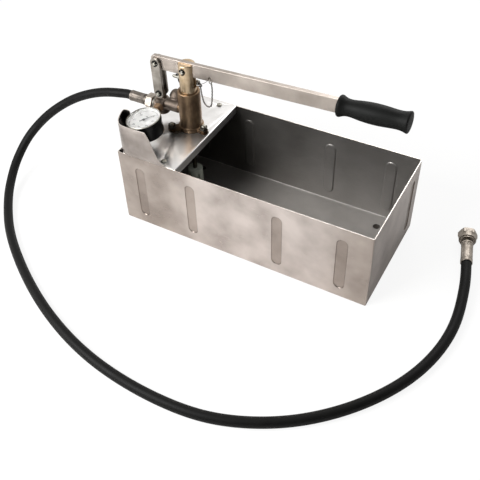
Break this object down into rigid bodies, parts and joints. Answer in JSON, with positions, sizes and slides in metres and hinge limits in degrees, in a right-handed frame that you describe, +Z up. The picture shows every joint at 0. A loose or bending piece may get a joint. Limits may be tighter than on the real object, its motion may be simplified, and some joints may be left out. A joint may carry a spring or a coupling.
{
  "type": "hydrostatic test pump",
  "caption": "Hand-lever hydrostatic test pump: open pressed steel water tank with a deck that carries a plunger pump, valves, gauge and lever linkage, and a long hose.",
  "frame": {"origin": "centre of the tank's flat underside", "axes": "+X along the tank from the pump to the grip end of the lever, +Y from the gauge to the back wall, +Z up"},
  "size_m": [0.9171, 0.5518, 0.3113],
  "materials": {
    "stainless": "pressed stainless sheet, warm grey, softly reflecting",
    "mirror": "polished stainless deck",
    "zinc": "bright zinc plate",
    "bronze": "brown bronze, satin",
    "brass": "machined brass",
    "steel": "plated lever steel",
    "black": "black moulded case",
    "spring": "blackened spring steel",
    "rubber": "black rubber",
    "white": "white dial",
    "glass": "clear gauge glass",
    "strainer": "grey-green translucent plastic",
    "seal": "black seal rubber"
  },
  "bodies": {
    "base": {"tank": "stainless", "deck_plate": "mirror", "gauge_guard": "stainless", "pump_cylinder": "bronze", "cylinder_gasket": "seal", "gland_seal": "seal", "suction_valve": "brass", "suction_pipe": "brass", "strainer": "strainer", "valve_body": "bronze", "delivery_seat": "brass", "valve_cap": "bronze", "gauge_case": "black", "gauge_bezel": "zinc", "gauge_lens": "glass", "gauge_dial": "white", "gauge_stem": "bronze", "outlet_adapter": "zinc", "hose_nut_pump": "zinc", "hose_ferrule_pump": "zinc", "hose": "rubber", "hose_ferrule_far": "zinc", "hose_nose_far": "zinc", "deck_screw_1": "zinc", "deck_screw_2": "zinc", "deck_screw_3": "zinc", "deck_screw_4": "zinc", "flange_bolt_1": "zinc", "flange_bolt_2": "zinc", "flange_bolt_3": "zinc", "flange_nut_1": "zinc", "flange_nut_2": "zinc", "flange_nut_3": "zinc"},
    "rod": {"piston_rod": "brass", "rod_pin": "zinc", "rod_clip_1": "spring", "rod_clip_2": "spring", "lock_pin": "zinc", "lock_bow": "spring", "pin_ring": "zinc"},
    "lever": {"lever": "steel", "grip": "rubber", "chain": "zinc", "chain_ring": "zinc"},
    "link": {"link_front": "steel", "link_rear": "steel", "link_pin_top": "zinc", "link_pin_bottom": "zinc", "link_clip_1": "spring", "link_clip_2": "spring", "link_clip_3": "spring", "link_clip_4": "spring"},
    "pointer": {"gauge_pointer": "black"},
    "far_nut": {"hose_nut_far": "zinc"},
    "suction_ball": {"suction_ball": "zinc"},
    "delivery_ball": {"delivery_ball": "zinc"}
  },
  "joints": [
    {"name": "rod_slide", "type": "slide", "parent": "base", "child": "rod", "axis": [0, 0, 1], "range_m": [0, 0.0398]},
    {"name": "lever_swing", "type": "hinge", "parent": "rod", "child": "lever", "pos_m": [-0.161, 0.012, 0.281], "axis": [0, -1, 0], "range_deg": [0, 45]},
    {"name": "link_swing", "type": "hinge", "parent": "lever", "child": "link", "pos_m": [-0.22197, 0.012, 0.27908], "axis": [0, -1, 0], "range_deg": [-63.2, 0]},
    {"name": "gauge_pointer_turn", "type": "hinge", "parent": "base", "child": "pointer", "pos_m": [-0.20354, -0.07166, 0.21471], "axis": [0.1685, 0.042, -0.9848], "range_deg": [0, 270], "stiffness_Nm_per_rad": 0.0002, "springref_deg": -11.46},
    {"name": "far_nut_spin", "type": "hinge", "parent": "base", "child": "far_nut", "pos_m": [0.35084, 0.08968, 0.01589], "axis": [-0.2484, 0.9687, 0], "continuous": true},
    {"name": "suction_ball_lift", "type": "slide", "parent": "base", "child": "suction_ball", "axis": [0, 0, 1], "range_m": [0, 0.003]},
    {"name": "delivery_ball_lift", "type": "slide", "parent": "base", "child": "delivery_ball", "axis": [0, 0, 1], "range_m": [0, 0.003]}
  ],
  "couplings": [
    {"joint": "rod_slide", "follows": "lever_swing", "m_per_rad": 0.050669},
    {"joint": "link_swing", "follows": "lever_swing", "ratio": -1.4029}
  ]
}
